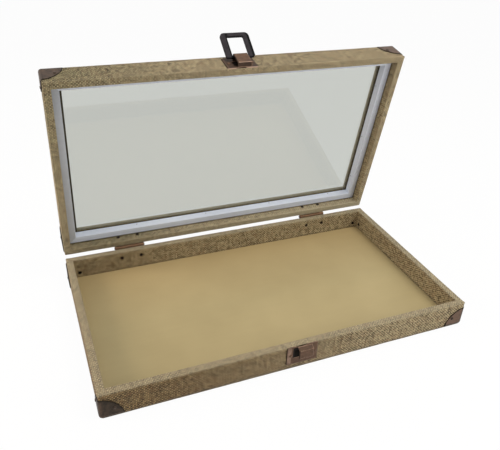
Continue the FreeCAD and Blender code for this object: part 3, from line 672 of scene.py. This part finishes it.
def makeShadowLine(look):
    # a dark line of painted shadow where the strips meet the glass, wider on the left
    near, far, ease = look["inset"], look["inset"] + look["wide"], look["ease"]
    top, foot = look["glassFoot"] - look["clear"], look["glassFoot"] - look["thick"]
    bm = drawWrap([(near, top), (near, foot), (far - ease, foot), (far, foot + ease), (far, top),
                   (near, top)])
    bmesh.ops.remove_doubles(bm, verts=bm.verts, dist=0.001)
    for vert in bm.verts:
        if vert.co.x < 0 and halfX + vert.co.x > near + 0.1:  # all but its outer side
            vert.co.x += look["leftMore"]
    bmesh.ops.recalc_face_normals(bm, faces=bm.faces)
    addPiece("glazingShadowLine", bm, glazingGapShade, "lid", lidPart=True)


makeShadowLine(shadowLine)


def closedCopy(node, moved):
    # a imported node's mesh in one piece, in millimetres and in the closed case
    bm = bmesh.new()
    bm.from_mesh(nodes[node].data)
    if moved:
        bmesh.ops.transform(bm, matrix=lidOpen.inverted(), verts=bm.verts)
    bmesh.ops.scale(bm, vec=(1 / mm, 1 / mm, 1 / mm), verts=bm.verts)
    bmesh.ops.remove_doubles(bm, verts=bm.verts, dist=0.005)
    return bm


def softCopy(node, name, material, body, look, shape):
    # the imported node with its cut edges eased, and an edge value at its bends: bright ones worn and painted
    # highlight, dark ones painted shade
    bm = closedCopy(node, body != "tray")
    bmesh.ops.dissolve_limit(bm, angle_limit=1 * degree, verts=bm.verts, edges=bm.edges)
    bmesh.ops.recalc_face_normals(bm, faces=bm.faces)
    bevelEdges(bm, lambda edge: folded(edge, angles["cut"]), look["ease"], 2)
    for axis in range(3):
        reach = [vert.co[axis] for vert in bm.verts]
        sliceUp(bm, axis, min(reach), max(reach), look["cells"])
    bm.normal_update()
    layer = bm.verts.layers.float.new("edge")
    for edge in bm.edges:
        if folded(edge, angles["bent"]):
            for vert in edge.verts:
                vert[layer] = look["bend"]
    shape(bm, layer)
    addPiece(name, bm, material, body, [node], body != "tray")


plates = {
    # bend: the plates' bends are rubbed bright, partly worn and partly painted highlight
    "ease": 0.22, "bend": 0.8, "cells": 0.5, "raised": 1.5, "flat": 1.0, "leftSide": 0.7, "slotEdge": 0.3,
    "slope": (1.7, 3.5),  # how far from the parting the raised part slopes
    # the slope and side values are painted shade, the end strip's value a painted highlight
    "catch": {"slopeShade": -0.6, "flange": 0.0, "slot": 4.6, "highlightAxis": 0, "highlightWidth": 4.2, "highlight": 0.5},
    "latch": {"slopeShade": -0.75, "flange": -0.45, "slot": 0.0, "highlightAxis": 2, "highlightWidth": 0.9, "highlight": 0.9},
}


def shadePlate(look, own, low, high):
    # painted shade on the raised part's slope towards the parting, on its left side and round the slot;
    # the flat plate takes the flange value, and a strip along the plate's end gets a painted highlight
    axis, slotEdge = own["highlightAxis"], look["slotEdge"]

    def shape(bm, layer):
        end = min(vert.co[axis] for vert in bm.verts)
        raised = [vert.co for vert in bm.verts if vert.co.y < -halfY - look["raised"]]
        left, foot, head = min(co.x for co in raised), min(co.z for co in raised), max(co.z for co in raised)
        for vert in bm.verts:
            x, y, z = vert.co
            unbent = vert[layer] < look["bend"]
            if y > -halfY - look["flat"]:
                if left - own["slot"] < x < left + slotEdge and foot - slotEdge < z < head + slotEdge:
                    vert[layer] = -1.0
                elif vert.co[axis] < end + own["highlightWidth"]:
                    vert[layer] = own["highlight"]
                elif unbent:
                    vert[layer] = own["flange"]
            elif x < left + look["leftSide"] or (low < z < high and unbent):
                vert[layer] = own["slopeShade"]
    return shape


starts, ends = plates["slope"]
catchShading = shadePlate(plates, plates["catch"], case["trayHeight"] - ends, case["trayHeight"] - starts)
latchShading = shadePlate(plates, plates["latch"], lidFoot + starts, lidFoot + ends)
softCopy("catch_plate", "catchPlate", latchCopper, "tray", plates, catchShading)
softCopy("latch_plate", "latchPlate", latchCopper, "lid", plates, latchShading)

# the ring's bent edges and the right part of each bar are darkened with painted shade
ring = {"ease": 0.2, "bend": -0.5, "cells": 0.8, "bar": 7.5, "shadedWidth": 2.6, "beyond": 0.2}


def shadeRingSides(bm, layer):
    # each bar's right part, turned from the light, is darkened with painted shade
    low, high = (pick(vert.co.x for vert in bm.verts) for pick in (min, max))
    barEnd = low + ring["bar"]
    for vert in bm.verts:
        inBar = barEnd - ring["shadedWidth"] < vert.co.x < barEnd + ring["beyond"]
        if inBar or vert.co.x > high - ring["shadedWidth"]:
            vert[layer] = -1.0


softCopy("latch_ring", "latchRing", ringBlack, "ring", ring, shadeRingSides)

hinge = {"ease": 0.12, "bend": 0.5, "cells": 0.8, "bore": 1.5, "barrel": 1.95, "behind": 0.9, "swell": 0.5,
         "rub": 0.55}


def swellBarrels(bm, layer):
    # the knuckles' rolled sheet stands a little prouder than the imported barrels
    for vert in bm.verts:
        away = Vector((0, vert.co.y - pinPoint.y / mm, vert.co.z - pinPoint.z / mm))
        if hinge["bore"] < away.length < hinge["barrel"] and vert.co.y > halfY + hinge["behind"]:
            vert.co += away.normalized() * hinge["swell"]
            vert[layer] = hinge["rub"]


for side in ("left", "right"):
    for part, body in (("lower", "tray"), ("upper", "lid")):
        softCopy("hinge_%s_%s_leaf" % (side, part), "hinge%s%sLeaf" % (side.title(), part.title()),
                 hingeCopper, body, hinge, swellBarrels)
print("metal eased")


def solidBoxes(node, lidPart):
    # where each solid of a node is in the closed case, as a low and a high corner
    bm = closedCopy(node, lidPart)
    left, boxes = set(bm.verts), []
    while left:
        group, front = [], [left.pop()]
        while front:
            vert = front.pop()
            group.append(vert.co.copy())
            for edge in vert.link_edges:
                other = edge.other_vert(vert)
                if other in left:
                    left.remove(other)
                    front.append(other)
        boxes.append([Vector([pick(point[axis] for point in group) for axis in range(3)])
                      for pick in (min, max)])
    bm.free()
    return sorted(boxes, key=lambda box: tuple(round(value, 1) for value in box[0]))


shadowCard = {"beyond": 0.8, "clear": 0.5, "corner": 1.6, "proud": 0.22, "thick": 0.5, "ease": 0.08}


def makeShadowCard(name, node, body, look):
    # a dark card of painted shade between each plate and the cloth, seen in the slots, the bowed edge and as
    # a thin line
    low, high = solidBoxes(node, body == "lid")[0]
    beyond, clear = look["beyond"], look["clear"]
    lowShift, highShift = (clear, beyond) if body == "lid" else (-beyond, -clear)
    low += Vector((-beyond, 0, lowShift))
    high += Vector((beyond, 0, highShift))
    size, middle = high - low, (low + high) / 2
    size.y, middle.y = look["thick"], look["thick"] / 2 - halfY - look["proud"]
    bm = bmesh.new()
    bmesh.ops.create_cube(bm, size=1)
    bmesh.ops.scale(bm, vec=size, verts=bm.verts)
    bmesh.ops.translate(bm, vec=middle, verts=bm.verts)
    bevelEdges(bm, lambda edge: abs(edge.verts[0].co.y - edge.verts[1].co.y) > 0.1, look["corner"], 3)
    bevelEdges(bm, lambda edge: max(vert.co.y for vert in edge.verts) < -halfY, look["ease"], 2)
    addPiece(name, bm, shadowCardPaint, body, lidPart=body == "lid")


makeShadowCard("catchShadowCard", "catch_plate", "tray", shadowCard)
makeShadowCard("latchShadowCard", "latch_plate", "lid", shadowCard)

caps = {
    "reach": 21.5, "sheet": 0.8, "ball": 2.8, "round": 4, "cuts": 7, "flat": 0.04, "grid": 1.6,
    "rub": 0.5, "rubBeyond": 0.3, "rimShade": -0.5, "patch": 0.4,
    "patches": {"trayCapFrontRight": 0.9, "lidCapFrontRight": 0.8, "lidCapFrontLeft": 0.6},
    "dent": 0.35, "dentReach": 3.4, "tackAlong": 12.8, "tackUp": 10.0,
}


def makeCap(node, name, body, look):
    # three round-edged ears bent from one sheet, with a ball at the corner, drawn at the origin
    low, high = solidBoxes(node, body == "lid")[0]
    middle = (low + high) / 2
    outward = Vector((math.copysign(1, middle.x), math.copysign(1, middle.y), 1 if body == "lid" else -1))
    reach, bm = look["reach"], bmesh.new()
    bmesh.ops.create_cube(bm, size=3 * reach)
    bmesh.ops.translate(bm, vec=(-1.5 * reach,) * 3, verts=bm.verts)
    hidden = [face for face in bm.faces if min(face.calc_center_median()) < -2 * reach]
    bmesh.ops.delete(bm, geom=hidden, context="FACES")
    bevelEdges(bm, lambda edge: len(edge.link_faces) == 2, look["ball"], look["round"])
    for first, last in ((0, 1), (1, 2), (2, 0)):
        for number in range(look["cuts"]):
            turn = 90 * degree * number / (look["cuts"] - 1)
            way = Vector((0, 0, 0))
            way[first], way[last] = -math.cos(turn), -math.sin(turn)
            cutThrough(bm, way * reach * (1 - look["flat"] * math.sin(2 * turn) ** 2), way, clear=True)
    for axis in range(3):
        sliceUp(bm, axis, -reach, 0, look["grid"])
    bmesh.ops.remove_doubles(bm, verts=bm.verts, dist=0.01)
    bm.normal_update()
    layer = bm.verts.layers.float.new("edge")
    along, up = look["tackAlong"], look["tackUp"]
    tacks = Vector((0, -along, -up)), Vector((-along, 0, -up))
    for vert in bm.verts:
        depths = sorted(-value for value in vert.co)
        # the outline where the cap meets the cloth is darkened with painted shade
        if vert.is_boundary:
            vert[layer] = look["rimShade"]
        elif depths[1] < look["ball"] + look["rubBeyond"]:
            vert[layer] = look["rub"]
        else:
            vert[layer] = look["patches"].get(name, look["patch"])
        for tack in tacks:
            away = (vert.co - tack).length / look["dentReach"]
            if away < 1:
                vert.co -= vert.normal * look["dent"] * (1 - away) ** 2
    bmesh.ops.scale(bm, vec=outward, verts=bm.verts)
    if outward.x * outward.y * outward.z < 0:
        bmesh.ops.reverse_faces(bm, faces=bm.faces)
    corner = Vector([high[axis] if outward[axis] > 0 else low[axis] for axis in range(3)])
    bmesh.ops.translate(bm, vec=corner, verts=bm.verts)
    piece = addPiece(name, bm, capBronze, body, [node], body == "lid")
    giveThickness(piece, look["sheet"])


for corner in corners:
    label = corner.title().replace("_", "")
    makeCap("base_cap_" + corner, "trayCap" + label, "tray", caps)
    makeCap("lid_cap_" + corner, "lidCap" + label, "lid", caps)
print("corner caps bent")


def turned(profile, steps):
    # a lathe shape: each profile point is a radius and a height
    bm = bmesh.new()
    verts = [bm.verts.new((radius, 0, height)) for radius, height in profile]
    edges = [bm.edges.new(pair) for pair in zip(verts, verts[1:])]
    bmesh.ops.spin(bm, geom=verts + edges, cent=(0, 0, 0), axis=(0, 0, 1), dvec=(0, 0, 0), angle=2 * math.pi,
                   steps=steps, use_merge=True)
    bmesh.ops.remove_doubles(bm, verts=bm.verts, dist=0.0005)
    bmesh.ops.recalc_face_normals(bm, faces=bm.faces)
    return bm


def cutSlot(bm, half, reach, depth, top):
    # a driver slot across the head
    for side in (-1, 1):
        for axis, limit in ((1, half), (0, reach)):
            way = Vector((axis == 0, axis == 1, 0))
            cutThrough(bm, way * side * limit, way)
    faces = []  # the head's upper faces between the cuts
    for face in bm.faces:
        x, y, z = face.calc_center_median()
        if z > top and face.normal.z > 0.3 and abs(x) < reach and abs(y) < half:
            faces.append(face)
    made = bmesh.ops.extrude_face_region(bm, geom=faces)["geom"]
    bmesh.ops.delete(bm, geom=faces, context="FACES")
    bmesh.ops.translate(bm, vec=(0, 0, -depth), verts=vertsOf(made))


def standOn(bm, way, spot, turn=0.0):
    # a turned shape's head to face that way, its shank to start at the spot
    face = Vector((0, 0, 1)).rotation_difference(way).to_matrix().to_4x4()
    matrix = Matrix.Translation(spot) @ face @ Matrix.Rotation(turn, 4, "Z")
    bmesh.ops.transform(bm, matrix=matrix, verts=bm.verts)


def gather(shapes):
    # many small shapes in one
    single, together = bpy.data.meshes.new("single"), bmesh.new()
    for bm in shapes:
        bm.to_mesh(single)
        together.from_mesh(single)
        bm.free()
    bpy.data.meshes.remove(single)
    return together


fasteners = {
    "steps": 20, "headRadius": 1.7, "headHeight": 0.8, "brim": 0.08, "shankRadius": 0.75, "burrRadius": 2.0,
    "burr": 0.4, "burrStep": 0.05, "taper": 0.8, "tip": 0.6, "slotHalf": 0.22, "slotReach": 1.2,
    "slotDepth": 0.35, "slotAbove": 0.4, "crownRub": 0.45, "crown": 0.9, "tipEnd": 1.0,
    "dome": [(0, 1), (0.35, 0.97), (0.62, 0.84), (0.84, 0.58), (0.96, 0.3)],  # shares of radius and height
    "sets": {  # name, material, body, slot, pokes out inside, has a driver slot
        "base_corner_tacks": ("trayCornerTacks", tackBronze, "tray", "tack_bronze", True, False),
        "catch_tacks": ("catchTacks", latchCopper, "tray", "latch_tack_copper", True, False),
        "lower_hinge_screws": ("lowerHingeScrews", pinCopper, "tray", "hinge_pin_copper", True, True),
        "lid_corner_tacks": ("lidCornerTacks", tackBronze, "lid", "tack_bronze", False, False),
        "latch_tacks": ("latchTacks", latchCopper, "lid", "latch_tack_copper", False, False),
        "upper_hinge_screws": ("upperHingeScrews", pinCopper, "lid", "hinge_pin_copper", True, True),
    },
}


def makeFasteners(node, name, material, body, pokes, slotted, look):
    # domed heads on shanks; where the tip comes out inside, it has pushed up a burr, darkened as painted
    # shade
    draws, shapes = random.Random(name), []
    for low, high in solidBoxes(node, body == "lid"):
        size, middle = high - low, (low + high) / 2
        axis = max(range(3), key=lambda number: size[number])
        outward = Vector([math.copysign(1, middle[axis]) if number == axis else 0 for number in range(3)])
        length, height, radius = size[axis] - look["headHeight"], look["headHeight"], look["headRadius"]
        shank, end = look["shankRadius"], look["tip"] - length
        profile = [(radius * out, height * up) for out, up in look["dome"]]
        profile += [(radius, look["brim"]), (radius, 0), (shank, 0)]
        if pokes:
            burr, foot = look["burrRadius"], end - look["burr"]
            profile += [(shank, end + look["burrStep"]), (burr, end), (burr * look["taper"], foot),
                        (shank * look["taper"], foot - look["burrStep"])]
        else:
            profile.append((shank, end + look["tip"]))
        bm = turned(profile + [(0, -length)], look["steps"])
        if slotted:
            cutSlot(bm, look["slotHalf"], look["slotReach"], look["slotDepth"], height * look["slotAbove"])
        layer = bm.verts.layers.float.new("edge")
        for vert in bm.verts:
            crown, inside = vert.co.z > height * look["crown"], vert.co.z < look["tipEnd"] - length
            # inside, the tip and burr are darkened with painted shade
            vert[layer] = look["crownRub"] if crown else -1.0 if inside else 0.0
        standOn(bm, outward, middle + outward * (size[axis] / 2 - height), draws.uniform(0, math.pi))
        shapes.append(bm)
    addPiece(name, gather(shapes), material, body, [node], body == "lid")


for node, (name, material, body, slot, pokes, slotted) in fasteners["sets"].items():
    makeFasteners(node, name, material, body, pokes, slotted, fasteners)

brads = {
    "radius": 0.55, "proud": 0.15, "length": 1.2, "steps": 12, "fromEdge": 3.1, "taper": 0.8,
    "head": [(0, 1), (0.7, 1), (1, 0.4)],
    "front": (-137, -54, 29, 112), "back": (-104, -21, 62, 145), "left": (-58, 12, 70), "right": (-62, 6, 66),
}


def makeBrads(look):
    # small nail heads along the glazing strips' inner sides
    shapes = []
    profile = [(look["radius"] * out, look["proud"] * up) for out, up in look["head"]]
    profile += [(look["radius"] * look["taper"], -look["length"]), (0, -look["length"])]
    for side in sides:
        low, high = solidBoxes("glass_strip_" + side, True)[0]
        across = 1 if side in ("front", "back") else 0
        facing = 1 if side in ("front", "left") else -1
        way, spot = Vector((0, 0, 0)), Vector((0, 0, high.z - look["fromEdge"]))
        way[across], spot[across] = facing, high[across] if facing > 0 else low[across]
        for along in look[side]:
            spot[1 - across] = along
            shapes.append(turned(profile, look["steps"]))
            standOn(shapes[-1], way, spot)
    addPiece("stripBrads", gather(shapes), tackBronze, "lid", lidPart=True)


makeBrads(brads)
print("tacks, screws and brads driven")

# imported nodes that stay, with their finishes
finishes = {"floor_board": floorPanel, "glass_panel": glassClear, "hinge_left_pin": pinCopper,
            "hinge_right_pin": pinCopper}
for side in sides:
    finishes["base_%s_board" % side] = boardWood
    finishes["lid_%s_rail" % side] = lidWood
    finishes["glass_strip_" + side] = shadedLeftStripPaint if side == "left" else stripPaint
for node, material in finishes.items():
    mesh = nodes[node].data
    mesh.materials.clear()
    mesh.materials.append(material)
print("packed nodes finished")


# studio

def whiteSeen(tree):
    # 1 for the rays that should meet a plain white backdrop
    path = put(tree, "LightPath").outputs
    seen = calc(tree, "ADD", path["Is Camera Ray"], path["Is Glossy Ray"])
    return calc(tree, "ADD", seen, path["Is Transmission Ray"], clamp=True)


studio = {
    "worldLight": 0.33, "floorSize": 8.0, "floorDrop": 0.0002, "floorColour": (0.97, 0.97, 0.97, 1),
    "floorShadow": 0.04,
    "lamps": {
        "topSoftbox": {"at": (0.1, -0.05, 1.0), "aim": (0, 0, 0.05), "size": 0.8, "power": 1.6,
                       "tint": (1, 1, 1)},
        "keySoftbox": {"at": (0.45, -0.3, 1.1), "aim": (0, 0, 0.05), "size": 0.6, "power": 5.3,
                       "tint": (1, 0.95, 0.86)},
        "frontCard": {"at": (0.42, -0.5, 0.3), "aim": (0.05, -0.1, 0.03), "size": 0.3, "power": 0.95,
                      "tint": (1, 0.97, 0.85)},
        "leftCard": {"at": (-0.85, 0.1, 0.4), "aim": (0.05, 0, 0.05), "size": 0.5, "power": 4.0,
                     "tint": (1, 0.86, 0.72)},
    },
}


def makeStudio(look):
    world = bpy.data.worlds.new("studio")
    bpy.context.scene.world = world
    world.use_nodes = True
    tree = world.node_tree
    light = tree.nodes["Background"]
    light.inputs["Color"].default_value = (1, 1, 1, 1)
    join(tree, ramp(tree, whiteSeen(tree), 0.0, 1.0, look["worldLight"], 1.0), light.inputs["Strength"])
    bm = bmesh.new()
    bmesh.ops.create_grid(bm, x_segments=1, y_segments=1, size=look["floorSize"] / 2)
    bmesh.ops.translate(bm, vec=(0, 0, -look["floorDrop"]), verts=bm.verts)
    mesh = bpy.data.meshes.new("studioFloor")
    bm.to_mesh(mesh)
    bm.free()
    floor = addObject("studioFloor", mesh)
    material, tree, shader = newMaterial("studioFloor", Base_Color=look["floorColour"], Roughness=1.0,
                                         Specular_IOR_Level=0.0)
    glow = put(tree, "Emission", {"Color": (1, 1, 1, 1), "Strength": 1.0})
    share = calc(tree, "MULTIPLY", whiteSeen(tree), 1 - look["floorShadow"])
    above = put(tree, "MixShader", {0: share, 1: shader.outputs[0], 2: glow.outputs[0]})
    fromBelow = put(tree, "NewGeometry").outputs["Backfacing"]
    below = put(tree, "BsdfTransparent")
    both = put(tree, "MixShader", {0: fromBelow, 1: above.outputs[0], 2: below.outputs[0]})
    join(tree, both.outputs[0], tree.nodes["Material Output"].inputs["Surface"])
    mesh.materials.append(material)
    for name, lamp in look["lamps"].items():
        data = bpy.data.lights.new(name, "AREA")
        data.shape, data.size, data.energy, data.color = "DISK", lamp["size"], lamp["power"], lamp["tint"]
        made = addObject(name, data)
        made.location = lamp["at"]
        made.rotation_euler = (Vector(lamp["aim"]) - Vector(lamp["at"])).to_track_quat("-Z", "Y").to_euler()


makeStudio(studio)

camera = {"azimuth": -23.304, "elevation": 31.095, "roll": 2.806, "lens": 41.974, "sensor": 36.0,
          "right": -8.90, "up": 81.88, "distance": 636.27, "nearest": 0.01, "farthest": 50.0}


def makeCamera(look):
    turn, rise, roll = (look[name] * degree for name in ("azimuth", "elevation", "roll"))
    back = Vector((math.sin(turn) * math.cos(rise), -math.cos(turn) * math.cos(rise), math.sin(rise)))
    right = Vector((math.cos(turn), math.sin(turn), 0))
    up = back.cross(right)
    right, up = math.cos(roll) * right + math.sin(roll) * up, math.cos(roll) * up - math.sin(roll) * right
    data = bpy.data.cameras.new("photoCamera")
    data.lens, data.sensor_width = look["lens"], look["sensor"]
    data.clip_start, data.clip_end = look["nearest"], look["farthest"]
    made = addObject("photoCamera", data)
    place = (look["right"] * right + look["up"] * up + look["distance"] * back) * mm
    made.matrix_world = Matrix.Translation(place) @ Matrix((right, up, back)).transposed().to_4x4()
    bpy.context.scene.camera = made


makeCamera(camera)
bpy.context.scene.view_settings.view_transform = "Standard"
print("studio and camera ready")
